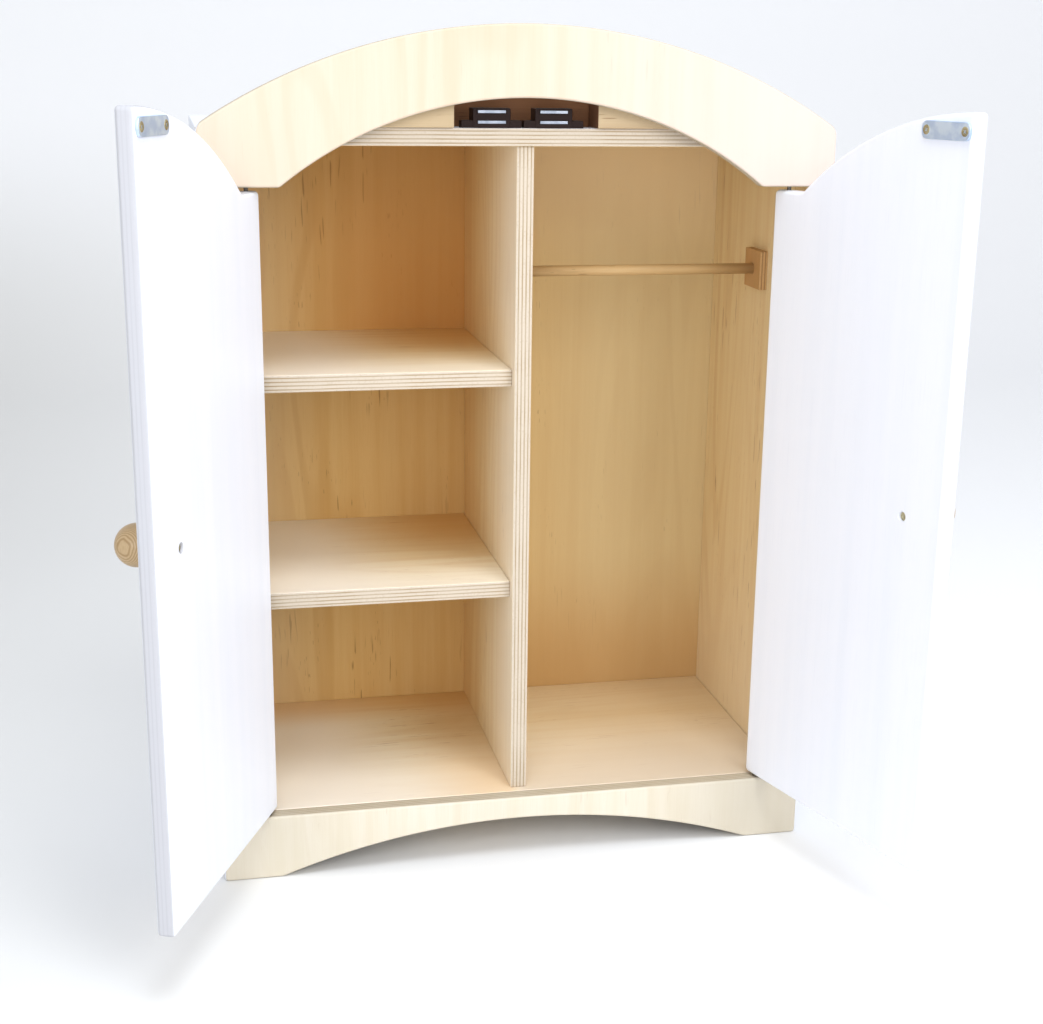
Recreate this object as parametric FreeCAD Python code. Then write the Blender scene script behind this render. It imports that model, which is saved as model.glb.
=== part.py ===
import FreeCAD, Part
import math
import os

# A doll's wardrobe in birch plywood. Millimetres, +Z up, the front faces -Y.
# The origin is on the floor, in the middle of the back panel's bottom edge.

# Overall
HALF_WIDTH = 218.0
BOARD = 12.0
BACK_BOARD = 6.0
CARCASS_DEPTH = 209.5
EASED_EDGE = 0.8

# Depth planes, from the back forwards
BACK_FACE = BACK_BOARD / 2
BACK_INNER = -BACK_BOARD / 2
CARCASS_FRONT = BACK_INNER - CARCASS_DEPTH
FRONT = CARCASS_FRONT - BOARD
TOP_PANEL_FRONT = CARCASS_FRONT + 3.0
DIVIDER_FRONT = CARCASS_FRONT + 6.0
SHELF_FRONT = CARCASS_FRONT + 15.0

# Heights
FLOOR_TOP = 48.0
LOWER_SHELF_TOP = 208.0
UPPER_SHELF_TOP = 364.5
TOP_PANEL_BOTTOM = 519.0
TOP_PANEL_TOP = TOP_PANEL_BOTTOM + BOARD
DIVIDER_X = 1.5
INNER_SIDE = HALF_WIDTH - BOARD

# Crown: a band between two arcs, with short straight ends that hold the pivots
CROWN_BOTTOM = 493.0
CROWN_INNER_RADIUS = 265.6
CROWN_INNER_CENTRE = 285.3
CROWN_OUTER_RADIUS = 391.8
CROWN_OUTER_CENTRE = 206.5
CROWN_TIP_ROUND = 4.0

# Plinth
PLINTH_ARCH_RADIUS = 517.0
PLINTH_ARCH_CENTRE = -486.0
PLINTH_FOOT_ROUND = 3.0
PLINTH_TOP_ROUND = 2.5

# Doors and the pins they turn on
PIVOT_X = 187.0
DOOR_BACK_GAP = 0.4
DOOR_FRONT = FRONT - DOOR_BACK_GAP
DOOR_BACK = DOOR_FRONT + BOARD
PIVOT_Y = DOOR_FRONT + BOARD / 2
DOOR_OUTER_EDGE = 196.0
DOOR_MEETING_EDGE = 3.0
DOOR_BOTTOM = FLOOR_TOP + 1.8
DOOR_HINGE_TOP = CROWN_BOTTOM - 2.5
DOOR_ARC_GAP = 2.0
DOOR_CORNER_ROUND = 4.0
DOOR_EASED_EDGE = 3.0
LEFT_OPEN_ANGLE = 113.0
RIGHT_OPEN_ANGLE = 106.5
PIN_RADIUS = 1.5
PIN_RUNNING_FIT = 0.05
PIN_LENGTH = 26.0
PIN_IN_BOARD = 13.0
PIN_END_ROOM = 1.0
WASHER_RADIUS = 4.0
WASHER_THICKNESS = 1.6

# Knobs
KNOB_X = 40.3
KNOB_Z = 291.0
KNOB_RADIUS = 13.5
KNOB_NECK_RADIUS = 6.5
KNOB_NECK_FLARE = 1.0
KNOB_LENGTH = 29.5
KNOB_NECK_SHARE = 0.35
KNOB_CHEEK_SHARE = 0.6
KNOB_CHEEK_INSET = 1.8
KNOB_SCREW_RADIUS = 1.7
KNOB_SCREW_HEAD = 3.0
KNOB_SCREW_SINK = 1.5
KNOB_SCREW_GRIP = 13.0

# Magnetic catches and their strike plates
CATCH_X = {"left": -22.7, "right": 19.9}
CATCH_BODY_WIDTH = 25.8
CATCH_BODY_HEIGHT = 12.9
CATCH_BODY_DEPTH = 15.0
CATCH_FRONT = DOOR_BACK + 3.0
CATCH_FLANGE_WIDTH = 41.4
CATCH_FLANGE_HEIGHT = 4.9
CATCH_FLANGE_DEPTH = 10.0
POLE_WIDTH = 19.1
POLE_THICKNESS = 2.0
POLE_LENGTH = 12.0
POLE_PROUD = 0.8
MAGNET_SET_BACK = 1.5
LOWER_POLE_Z = TOP_PANEL_TOP + 2.8
UPPER_POLE_Z = TOP_PANEL_TOP + 9.6
MAGNET_WIDTH = 17.0
CATCH_SCREW_X = (CATCH_BODY_WIDTH + CATCH_FLANGE_WIDTH) / 4
STRIKE_LENGTH = 42.5
STRIKE_HEIGHT = 11.0
STRIKE_THICKNESS = 1.8
STRIKE_CORNER_ROUND = 4.4
STRIKE_X = 25.8
STRIKE_Z = 537.5
STRIKE_SCREW_SPACING = 34.0

# Blocks behind the crown
RECESS_END = {"left": 48.4, "right": 50.0}
CROWN_BLOCK_END = 175.0
CROWN_BLOCK_DEPTH = 30.0
CROWN_BLOCK_HEIGHT = 22.0
RECESS_DEPTH = 26.0

# Hanging rod
ROD_RADIUS = 4.0
ROD_Y = FRONT + 109.0
ROD_Z = 423.5
ROD_BLOCK_THICKNESS = 6.0
ROD_BLOCK_DEPTH = 34.0
ROD_BLOCK_HEIGHT = 29.0
ROD_SOCKET = 3.0

# Wood screws
SCREW_HEAD_RADIUS = 3.0
SCREW_SHANK_RADIUS = 1.3
BACK_SCREW_LENGTH = 20.0
BACK_SCREW_X = 90.0
BACK_SCREW_LOWEST = 20.0
BACK_SCREW_STEP = 160.0
BACK_SCREWS_EACH_SIDE = 4
STRIKE_SCREW_LENGTH = 9.0
CATCH_SCREW_HEAD_RADIUS = 2.8
CATCH_SCREW_LENGTH = 13.0

X_AXIS = FreeCAD.Vector(1, 0, 0)
Y_AXIS = FreeCAD.Vector(0, 1, 0)
Z_AXIS = FreeCAD.Vector(0, 0, 1)


def box(x_span, y_span, z_span):
    corner = FreeCAD.Vector(x_span[0], y_span[0], z_span[0])
    return Part.makeBox(x_span[1] - x_span[0], y_span[1] - y_span[0], z_span[1] - z_span[0], corner)


def cylinder(radius, length, start, axis):
    return Part.makeCylinder(radius, length, start, axis)


def both(low_value):
    """A span from -low_value to +low_value."""
    return (-low_value, low_value)


def round_edges(shape, radius, wanted):
    edges = [edge for edge in shape.Edges if wanted(edge)]
    return shape.makeFillet(radius, edges)


def lies_at_y(y):
    def test(edge):
        return abs(edge.BoundBox.YMin - y) < 1e-4 and abs(edge.BoundBox.YMax - y) < 1e-4
    return test


def ease_front(shape, y, radius=EASED_EDGE):
    return round_edges(shape, radius, lies_at_y(y))


def ease_both_faces(shape, front, back, radius):
    on_front = lies_at_y(front)
    on_back = lies_at_y(back)
    return round_edges(shape, radius, lambda edge: on_front(edge) or on_back(edge))


def is_corner(x, z):
    """True for the edge that runs along Y through the point (x, z)."""
    def test(edge):
        limits = edge.BoundBox
        flat = limits.XLength < 1e-4 and limits.ZLength < 1e-4
        return flat and abs(limits.XMin - x) < 1e-3 and abs(limits.ZMin - z) < 1e-3
    return test


def round_corner(shape, x, z, radius):
    return round_edges(shape, radius, is_corner(x, z))


def arc_height(radius, centre, x):
    return centre + math.sqrt(radius ** 2 - x ** 2)


def board_from_outline(edges, y, thickness):
    face = Part.Face(Part.Wire(edges))
    board = face.extrude(FreeCAD.Vector(0, thickness, 0))
    board.translate(FreeCAD.Vector(0, y, 0))
    return board


def point(x, z):
    return FreeCAD.Vector(x, 0, z)


def line(start, end):
    return Part.makeLine(start, end)


def arc(start, middle, end):
    return Part.Arc(start, middle, end).toShape()


def mirrored(shape):
    return shape.mirror(FreeCAD.Vector(0, 0, 0), X_AXIS)


def countersunk_screw(start, axis, length, head=SCREW_HEAD_RADIUS, shank=SCREW_SHANK_RADIUS):
    """A screw whose flat head is at start and whose shank runs along axis."""
    cone = Part.makeCone(head, shank, head - shank, start, axis)
    return cone.fuse(cylinder(shank, length, start, axis)).removeSplitter()


def save(name, *solids):
    shape = solids[0] if len(solids) == 1 else Part.makeCompound(list(solids))
    shape.exportStep("parts/" + name + ".step")


def pivot_pins(z):
    start = [FreeCAD.Vector(side * PIVOT_X, PIVOT_Y, z) for side in (-1, 1)]
    return [cylinder(PIN_RADIUS, PIN_LENGTH, place, Z_AXIS) for place in start]


def upper_pins():
    return pivot_pins(CROWN_BOTTOM + PIN_IN_BOARD - PIN_LENGTH)


def lower_pins():
    return pivot_pins(FLOOR_TOP - PIN_IN_BOARD)


def crown_board():
    spring = math.sqrt(CROWN_INNER_RADIUS ** 2 - (CROWN_BOTTOM - CROWN_INNER_CENTRE) ** 2)
    tip = arc_height(CROWN_OUTER_RADIUS, CROWN_OUTER_CENTRE, HALF_WIDTH)
    left_foot, left_spring = point(-HALF_WIDTH, CROWN_BOTTOM), point(-spring, CROWN_BOTTOM)
    right_foot, right_spring = point(HALF_WIDTH, CROWN_BOTTOM), point(spring, CROWN_BOTTOM)
    left_tip, right_tip = point(-HALF_WIDTH, tip), point(HALF_WIDTH, tip)
    inner_top = point(0, CROWN_INNER_CENTRE + CROWN_INNER_RADIUS)
    outer_top = point(0, CROWN_OUTER_CENTRE + CROWN_OUTER_RADIUS)
    outline = [
        line(left_foot, left_spring),
        arc(left_spring, inner_top, right_spring),
        line(right_spring, right_foot),
        line(right_foot, right_tip),
        arc(right_tip, outer_top, left_tip),
        line(left_tip, left_foot),
    ]
    crown = board_from_outline(outline, FRONT, BOARD)
    for side in (-1, 1):
        crown = round_corner(crown, side * HALF_WIDTH, tip, CROWN_TIP_ROUND)
    crown = ease_both_faces(crown, FRONT, CARCASS_FRONT, EASED_EDGE)
    for pin in upper_pins():
        crown = crown.cut(pin)
    return crown


def plinth_board():
    foot = math.sqrt(PLINTH_ARCH_RADIUS ** 2 - PLINTH_ARCH_CENTRE ** 2)
    outline = [
        line(point(-HALF_WIDTH, 0), point(-foot, 0)),
        arc(point(-foot, 0), point(0, PLINTH_ARCH_CENTRE + PLINTH_ARCH_RADIUS), point(foot, 0)),
        line(point(foot, 0), point(HALF_WIDTH, 0)),
        line(point(HALF_WIDTH, 0), point(HALF_WIDTH, FLOOR_TOP)),
        line(point(HALF_WIDTH, FLOOR_TOP), point(-HALF_WIDTH, FLOOR_TOP)),
        line(point(-HALF_WIDTH, FLOOR_TOP), point(-HALF_WIDTH, 0)),
    ]
    plinth = board_from_outline(outline, FRONT, BOARD)
    for side in (-1, 1):
        plinth = round_corner(plinth, side * HALF_WIDTH, 0, PLINTH_FOOT_ROUND)
        plinth = round_corner(plinth, side * HALF_WIDTH, FLOOR_TOP, PLINTH_TOP_ROUND)
    plinth = ease_front(plinth, FRONT, PLINTH_TOP_ROUND - EASED_EDGE)
    for pin in lower_pins():
        plinth = plinth.cut(pin)
    return plinth


def side_panel():
    """The right side panel; the left one is its mirror image."""
    return box((INNER_SIDE, HALF_WIDTH), (CARCASS_FRONT, BACK_INNER), (0, TOP_PANEL_BOTTOM))


def back_panel_screws():
    """Down both sides, and along the floor and top panels."""
    side_heights = [BACK_SCREW_LOWEST + step * BACK_SCREW_STEP for step in range(BACK_SCREWS_EACH_SIDE)]
    level_heights = [FLOOR_TOP - BOARD / 2, TOP_PANEL_TOP - BOARD / 2]
    screws = []
    for side in (-1, 1):
        heads = [(side * (HALF_WIDTH - BOARD / 2), z) for z in side_heights]
        heads += [(side * BACK_SCREW_X, z) for z in level_heights]
        for x, z in heads:
            start = FreeCAD.Vector(x, BACK_FACE, z)
            screws.append(countersunk_screw(start, -Y_AXIS, BACK_SCREW_LENGTH))
    return screws


def back_panel():
    return box(both(HALF_WIDTH), (BACK_INNER, BACK_FACE), (0, TOP_PANEL_TOP))


def floor_panel():
    panel = box(both(INNER_SIDE), (CARCASS_FRONT, BACK_INNER), (FLOOR_TOP - BOARD, FLOOR_TOP))
    return ease_front(panel, CARCASS_FRONT)


def top_panel():
    panel = box(both(HALF_WIDTH), (TOP_PANEL_FRONT, BACK_INNER), (TOP_PANEL_BOTTOM, TOP_PANEL_TOP))
    return ease_front(panel, TOP_PANEL_FRONT)


def divider_panel():
    span = (DIVIDER_X - BOARD / 2, DIVIDER_X + BOARD / 2)
    panel = box(span, (DIVIDER_FRONT, BACK_INNER), (FLOOR_TOP, TOP_PANEL_BOTTOM))
    return ease_front(panel, DIVIDER_FRONT)


def shelf(top):
    span = (-INNER_SIDE, DIVIDER_X - BOARD / 2)
    return ease_front(box(span, (SHELF_FRONT, BACK_INNER), (top - BOARD, top)), SHELF_FRONT)


def crown_block(recess_end):
    """The block right of the catch recess; the left one is mirrored from it."""
    y_span = (CARCASS_FRONT, CARCASS_FRONT + CROWN_BLOCK_DEPTH)
    z_span = (TOP_PANEL_TOP, TOP_PANEL_TOP + CROWN_BLOCK_HEIGHT)
    return box((recess_end, CROWN_BLOCK_END), y_span, z_span)


def catch_recess_backing():
    y_span = (CARCASS_FRONT + RECESS_DEPTH, CARCASS_FRONT + CROWN_BLOCK_DEPTH)
    z_span = (TOP_PANEL_TOP, TOP_PANEL_TOP + CROWN_BLOCK_HEIGHT)
    return box((-RECESS_END["left"], RECESS_END["right"]), y_span, z_span)


def hanging_rod():
    left = DIVIDER_X + BOARD / 2 + ROD_BLOCK_THICKNESS - ROD_SOCKET
    right = INNER_SIDE - ROD_BLOCK_THICKNESS + ROD_SOCKET
    return cylinder(ROD_RADIUS, right - left, FreeCAD.Vector(left, ROD_Y, ROD_Z), X_AXIS)


def rod_block(left_face, rod):
    y_span = (ROD_Y - ROD_BLOCK_DEPTH / 2, ROD_Y + ROD_BLOCK_DEPTH / 2)
    z_span = (ROD_Z - ROD_BLOCK_HEIGHT / 2, ROD_Z + ROD_BLOCK_HEIGHT / 2)
    return box((left_face, left_face + ROD_BLOCK_THICKNESS), y_span, z_span).cut(rod)


def catch_pole_plates(x):
    span = (x - POLE_WIDTH / 2, x + POLE_WIDTH / 2)
    y_span = (CATCH_FRONT - POLE_PROUD, CATCH_FRONT - POLE_PROUD + POLE_LENGTH)
    return [box(span, y_span, (z, z + POLE_THICKNESS)) for z in (LOWER_POLE_Z, UPPER_POLE_Z)]


def catch_magnet(x):
    span = (x - MAGNET_WIDTH / 2, x + MAGNET_WIDTH / 2)
    y_span = (CATCH_FRONT + MAGNET_SET_BACK, CATCH_FRONT - POLE_PROUD + POLE_LENGTH)
    return box(span, y_span, (LOWER_POLE_Z + POLE_THICKNESS, UPPER_POLE_Z))


def catch_screws(x):
    screws = []
    y = CATCH_FRONT + CATCH_FLANGE_DEPTH / 2
    for side in (-1, 1):
        start = FreeCAD.Vector(x + side * CATCH_SCREW_X, y, TOP_PANEL_TOP + CATCH_FLANGE_HEIGHT)
        screws.append(countersunk_screw(start, -Z_AXIS, CATCH_SCREW_LENGTH, CATCH_SCREW_HEAD_RADIUS))
    return screws


def catch_housing(x):
    width = CATCH_BODY_WIDTH / 2
    body = box((x - width, x + width), (CATCH_FRONT, CATCH_FRONT + CATCH_BODY_DEPTH),
               (TOP_PANEL_TOP, TOP_PANEL_TOP + CATCH_BODY_HEIGHT))
    body = ease_front(body, CATCH_FRONT, EASED_EDGE / 2)
    width = CATCH_FLANGE_WIDTH / 2
    flange = box((x - width, x + width), (CATCH_FRONT, CATCH_FRONT + CATCH_FLANGE_DEPTH),
                 (TOP_PANEL_TOP, TOP_PANEL_TOP + CATCH_FLANGE_HEIGHT))
    housing = body.fuse(flange)
    for inner in catch_pole_plates(x) + [catch_magnet(x)] + catch_screws(x):
        housing = housing.cut(inner)
    return housing


def door_panel():
    """The closed right door; the left one is its mirror image."""
    radius = CROWN_INNER_RADIUS - DOOR_ARC_GAP
    shoulder = math.sqrt(radius ** 2 - (DOOR_HINGE_TOP - CROWN_INNER_CENTRE) ** 2)
    middle = shoulder / 2
    meeting_top = point(DOOR_MEETING_EDGE, arc_height(radius, CROWN_INNER_CENTRE, DOOR_MEETING_EDGE))
    arc_middle = point(middle, arc_height(radius, CROWN_INNER_CENTRE, middle))
    shoulder_point = point(shoulder, DOOR_HINGE_TOP)
    hinge_top, hinge_bottom = point(DOOR_OUTER_EDGE, DOOR_HINGE_TOP), point(DOOR_OUTER_EDGE, DOOR_BOTTOM)
    meeting_bottom = point(DOOR_MEETING_EDGE, DOOR_BOTTOM)
    outline = [
        line(meeting_bottom, meeting_top),
        arc(meeting_top, arc_middle, shoulder_point),
        line(shoulder_point, hinge_top),
        line(hinge_top, hinge_bottom),
        line(hinge_bottom, meeting_bottom),
    ]
    door = board_from_outline(outline, DOOR_FRONT, BOARD)
    door = round_corner(door, DOOR_OUTER_EDGE, DOOR_HINGE_TOP, DOOR_CORNER_ROUND)
    door = round_corner(door, DOOR_OUTER_EDGE, DOOR_BOTTOM, DOOR_CORNER_ROUND)
    return ease_both_faces(door, DOOR_FRONT, DOOR_BACK, DOOR_EASED_EDGE)


def pivot_bores():
    """Running-fit holes for the right door's pins, a little deeper than the pins reach."""
    radius = PIN_RADIUS + PIN_RUNNING_FIT
    depth = PIN_LENGTH - PIN_IN_BOARD + PIN_END_ROOM
    lower = FreeCAD.Vector(PIVOT_X, PIVOT_Y, FLOOR_TOP)
    upper = FreeCAD.Vector(PIVOT_X, PIVOT_Y, CROWN_BOTTOM - depth)
    return [cylinder(radius, depth, lower, Z_AXIS), cylinder(radius, depth, upper, Z_AXIS)]


def knob_screw():
    start = FreeCAD.Vector(KNOB_X, DOOR_BACK - KNOB_SCREW_SINK, KNOB_Z)
    length = BOARD - KNOB_SCREW_SINK + KNOB_SCREW_GRIP
    return countersunk_screw(start, -Y_AXIS, length, KNOB_SCREW_HEAD, KNOB_SCREW_RADIUS)


def knob_screw_mouth():
    start = FreeCAD.Vector(KNOB_X, DOOR_BACK, KNOB_Z)
    return cylinder(KNOB_SCREW_HEAD, KNOB_SCREW_SINK, start, -Y_AXIS)


def knob():
    """A turned ball knob on a short waisted neck."""
    flare = KNOB_NECK_RADIUS + KNOB_NECK_FLARE
    rim_out = KNOB_LENGTH - KNOB_RADIUS
    neck_out = rim_out * KNOB_NECK_SHARE
    halfway = KNOB_RADIUS * math.sqrt(0.5)

    def at(radius, out):
        return FreeCAD.Vector(KNOB_X + radius, DOOR_FRONT - out, KNOB_Z)

    foot, foot_rim = at(0, 0), at(flare, 0)
    waist, under_head = at(KNOB_NECK_RADIUS, neck_out / 2), at(flare, neck_out)
    cheek, rim = at(KNOB_RADIUS - KNOB_CHEEK_INSET, rim_out * KNOB_CHEEK_SHARE), at(KNOB_RADIUS, rim_out)
    shoulder, tip = at(halfway, rim_out + halfway), at(0, KNOB_LENGTH)
    profile = Part.Wire([
        line(foot, foot_rim),
        arc(foot_rim, waist, under_head),
        arc(under_head, cheek, rim),
        arc(rim, shoulder, tip),
        line(tip, foot),
    ])
    turned = Part.Face(profile).revolve(foot, Y_AXIS, 360)
    return turned.cut(knob_screw())


def strike_screws():
    screws = []
    for side in (-1, 1):
        x = STRIKE_X + side * STRIKE_SCREW_SPACING / 2
        start = FreeCAD.Vector(x, DOOR_BACK + STRIKE_THICKNESS, STRIKE_Z)
        screws.append(countersunk_screw(start, -Y_AXIS, STRIKE_SCREW_LENGTH))
    return screws


def strike_plate():
    x_span = (STRIKE_X - STRIKE_LENGTH / 2, STRIKE_X + STRIKE_LENGTH / 2)
    z_span = (STRIKE_Z - STRIKE_HEIGHT / 2, STRIKE_Z + STRIKE_HEIGHT / 2)
    plate = box(x_span, (DOOR_BACK, DOOR_BACK + STRIKE_THICKNESS), z_span)
    corners = [is_corner(x, z) for x in x_span for z in z_span]
    plate = round_edges(plate, STRIKE_CORNER_ROUND, lambda edge: any(test(edge) for test in corners))
    for screw in strike_screws():
        plate = plate.cut(screw)
    return plate


def closed_right_door():
    """Every solid that turns with the right door, in the closed position."""
    panel = door_panel()
    cutters = pivot_bores() + strike_screws() + [knob_screw(), knob_screw_mouth()]
    for cutter in cutters:
        panel = panel.cut(cutter)
    return {
        "door_panel": [panel],
        "knob": [knob()],
        "knob_screw": [knob_screw()],
        "strike_plate": [strike_plate()],
        "strike_screws": strike_screws(),
    }


def save_door(side_name, side, open_angle):
    """Swing a door open about its pins and save its nodes."""
    for part_name, solids in closed_right_door().items():
        placed = []
        for solid in solids:
            closed = solid if side > 0 else mirrored(solid)
            pivot = FreeCAD.Vector(side * PIVOT_X, PIVOT_Y, 0)
            closed.rotate(pivot, Z_AXIS, side * open_angle)
            placed.append(closed)
        save(side_name + "_" + part_name, *placed)


def save_carcass():
    save("crown_board", crown_board())
    save("plinth_board", plinth_board())
    screws = back_panel_screws()
    panels = {
        "left_side_panel": mirrored(side_panel()),
        "right_side_panel": side_panel(),
        "back_panel": back_panel(),
        "floor_panel": floor_panel(),
        "top_panel": top_panel(),
    }
    all_catch_screws = catch_screws(CATCH_X["left"]) + catch_screws(CATCH_X["right"])
    for name, panel in panels.items():
        for screw in screws + all_catch_screws:
            panel = panel.cut(screw)
        save(name, panel)
    save("back_panel_screws", *screws)
    save("catch_screws", *all_catch_screws)
    save("divider_panel", divider_panel())
    save("lower_shelf", shelf(LOWER_SHELF_TOP))
    save("upper_shelf", shelf(UPPER_SHELF_TOP))


def save_crown_blocks():
    save("right_crown_block", crown_block(RECESS_END["right"]))
    save("left_crown_block", mirrored(crown_block(RECESS_END["left"])))
    save("catch_recess_backing", catch_recess_backing())


def save_rod():
    rod = hanging_rod()
    save("hanging_rod", rod)
    save("left_rod_block", rod_block(DIVIDER_X + BOARD / 2, rod))
    save("right_rod_block", rod_block(INNER_SIDE - ROD_BLOCK_THICKNESS, rod))


def save_catches():
    for side_name, x in CATCH_X.items():
        save(side_name + "_catch_housing", catch_housing(x))
        save(side_name + "_catch_pole_plates", *catch_pole_plates(x))
        save(side_name + "_catch_magnet", catch_magnet(x))


def save_pivots():
    save("upper_pivot_pins", *upper_pins())
    save("lower_pivot_pins", *lower_pins())
    washers = []
    for pin in lower_pins():
        start = FreeCAD.Vector(pin.CenterOfMass.x, PIVOT_Y, FLOOR_TOP)
        washers.append(cylinder(WASHER_RADIUS, WASHER_THICKNESS, start, Z_AXIS).cut(pin))
    save("lower_pivot_washers", *washers)


os.makedirs("parts", exist_ok=True)
save_carcass()
save_crown_blocks()
save_rod()
save_catches()
save_pivots()
save_door("left", -1, LEFT_OPEN_ANGLE)
save_door("right", 1, RIGHT_OPEN_ANGLE)
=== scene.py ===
import math

import bmesh
import bpy
from mathutils import Matrix, Vector


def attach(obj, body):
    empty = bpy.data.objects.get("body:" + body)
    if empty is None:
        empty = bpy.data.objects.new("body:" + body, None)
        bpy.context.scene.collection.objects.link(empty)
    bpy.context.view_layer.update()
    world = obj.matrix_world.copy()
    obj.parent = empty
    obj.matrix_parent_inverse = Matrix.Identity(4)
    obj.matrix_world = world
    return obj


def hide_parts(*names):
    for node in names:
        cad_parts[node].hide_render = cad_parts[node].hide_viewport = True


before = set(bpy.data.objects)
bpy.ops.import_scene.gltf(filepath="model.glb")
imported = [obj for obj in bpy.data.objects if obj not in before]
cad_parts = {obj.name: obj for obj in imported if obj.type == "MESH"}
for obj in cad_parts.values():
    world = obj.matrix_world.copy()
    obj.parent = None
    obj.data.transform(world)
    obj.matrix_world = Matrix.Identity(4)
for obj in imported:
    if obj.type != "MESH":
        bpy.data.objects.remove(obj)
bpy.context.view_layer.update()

# ---------------------------------------------------------------- dimensions, in millimetres
MM = 0.001
HALF_WIDTH = 218.0
BOARD = 12.0
BACK_INNER = -3.0
BACK_FACE = 3.0
BACK_THICKNESS = BACK_FACE - BACK_INNER
CARCASS_FRONT = -212.5
FRONT = CARCASS_FRONT - BOARD
TOP_PANEL_FRONT = CARCASS_FRONT + 3.0
DIVIDER_FRONT = CARCASS_FRONT + 6.0
SHELF_FRONT = CARCASS_FRONT + 15.0
FLOOR_TOP = 48.0
LOWER_SHELF_TOP = 208.0
UPPER_SHELF_TOP = 364.5
TOP_PANEL_BOTTOM = 519.0
TOP_PANEL_TOP = TOP_PANEL_BOTTOM + BOARD
DIVIDER_X = 1.5
DIVIDER_LEFT = DIVIDER_X - BOARD / 2
DIVIDER_RIGHT = DIVIDER_X + BOARD / 2
INNER_SIDE = HALF_WIDTH - BOARD
EASED_EDGE = 0.9
FLOOR_EASED_EDGE = 1.2

CROWN_BOTTOM = 493.0
CROWN_INNER_RADIUS = 265.6
CROWN_INNER_CENTRE = 285.3
CROWN_OUTER_RADIUS = 391.8
CROWN_OUTER_CENTRE = 206.5
CROWN_TIP_ROUND = 5.0
CROWN_EASED_EDGE = 1.6

PLINTH_ARCH_RADIUS = 517.0
PLINTH_ARCH_CENTRE = -486.0
PLINTH_FOOT_ROUND = 3.0
PLINTH_TOP_ROUND = 2.5
PLINTH_EASED_EDGE = 1.8

PIVOT_X = 187.0
DOOR_FRONT = FRONT - 0.4
DOOR_BACK = DOOR_FRONT + BOARD
PIVOT_Y = DOOR_FRONT + BOARD / 2
DOOR_OUTER_EDGE = 196.0
DOOR_MEETING_EDGE = 3.0
DOOR_BOTTOM = FLOOR_TOP + 1.8
DOOR_HINGE_TOP = CROWN_BOTTOM - 2.5
DOOR_ARC_RADIUS = CROWN_INNER_RADIUS - 2.0
DOOR_CORNER_ROUND = 4.0
DOOR_EASED_EDGE = 3.0
OPEN_ANGLE = {"left": 113.0, "right": 106.5}
SIDES = {"left": -1, "right": 1}
PIN_RADIUS = 1.5
PIN_LENGTH = 26.0
PIN_IN_BOARD = 13.0
PIN_EASED_END = 0.3
WASHER_RADIUS = 4.0
WASHER_THICKNESS = 1.6
WASHER_EASED_EDGE = 0.2

KNOB_X = 40.3
KNOB_Z = 291.0
KNOB_RADIUS = 13.5
KNOB_NECK = 6.5
KNOB_NECK_FLARE = 1.0
KNOB_NECK_SHARE = 0.35
KNOB_LENGTH = 29.5
KNOB_RING_SLANT = (0.95, 0.29, 0.09)
KNOB_RING_SPACING = 0.95
KNOB_RING_WAVER = 2.2
KNOB_SCREW_SHANK = 1.7
KNOB_SCREW_LENGTH = 20.0
KNOB_SINK_RADIUS = 3.0
KNOB_SINK_FLARE = 0.6
KNOB_SINK_DEPTH = 1.5

CATCH_X = {"left": -22.7, "right": 19.9}
CATCH_FRONT = DOOR_BACK + 3.0
CATCH_BODY = (25.8, 15.0, 12.9)
CATCH_FLANGE = (41.4, 10.0, 4.9)
CATCH_FLANGE_SETBACK = 0.4
CATCH_BODY_EASED_EDGE = 0.7
CATCH_FLANGE_EASED_EDGE = 0.6
CATCH_SCREW_X = (CATCH_BODY[0] + CATCH_FLANGE[0]) / 4
POLE = (19.1, 12.0, 2.0)
POLE_PROUD = 0.8
POLE_HEIGHTS = (2.8, 9.6)
POLE_EASED_EDGE = 0.3
POLE_SLOT_ROOM = (0.25, 1.2, 0.2)
STRIKE_X = 25.8
STRIKE_Z = 537.5
STRIKE_SIZE = (42.5, 11.0)
STRIKE_THICKNESS = 1.8
STRIKE_CORNER_SHARE = 0.44
STRIKE_EASED_EDGE = 0.35
STRIKE_SCREW_SPACING = 34.0

RECESS_END = {"left": 48.4, "right": 50.0}
CROWN_BLOCK_END = 175.0
CROWN_BLOCK_DEPTH = 30.0
CROWN_BLOCK_HEIGHT = 22.0
RECESS_DEPTH = 26.0
RECESS_EASED_EDGE = 0.4

ROD_RADIUS = 4.0
ROD_Y = FRONT + 109.0
ROD_Z = 423.5
ROD_BLOCK = (6.0, 34.0, 29.0)
ROD_BLOCK_EASED_EDGE = 0.5

# Screws: head radius, shank radius, length and how far the head stands above its surface.
CATCH_SCREW = (2.8, 1.3, 12.0, 0.1)
BACK_SCREW = (3.0, 1.3, 20.0, 0.1)
STRIKE_SCREW = (3.0, 1.3, 9.0, 0.15)
KNOB_SCREW = (KNOB_SINK_RADIUS - 0.1, KNOB_SCREW_SHANK, KNOB_SCREW_LENGTH, -KNOB_SINK_DEPTH)
SCREW_RIM = 0.25
CROSS_REACH = 0.62
CROSS_WIDTH = 0.13
CROSS_START = -0.5
CROSS_DEPTH = 0.9
CROSS_TAPER = 0.45
SMALL_STEPS = 32
BACK_SCREW_HEIGHTS = (20, 180, 340, 500)
BACK_SCREW_X = 90

# The axes by number, as the material helpers take them.
X, Y, Z = 0, 1, 2
UP = (0, 0, 1)
DOWN = (0, 0, -1)
FORWARD = (0, -1, 0)

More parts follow.
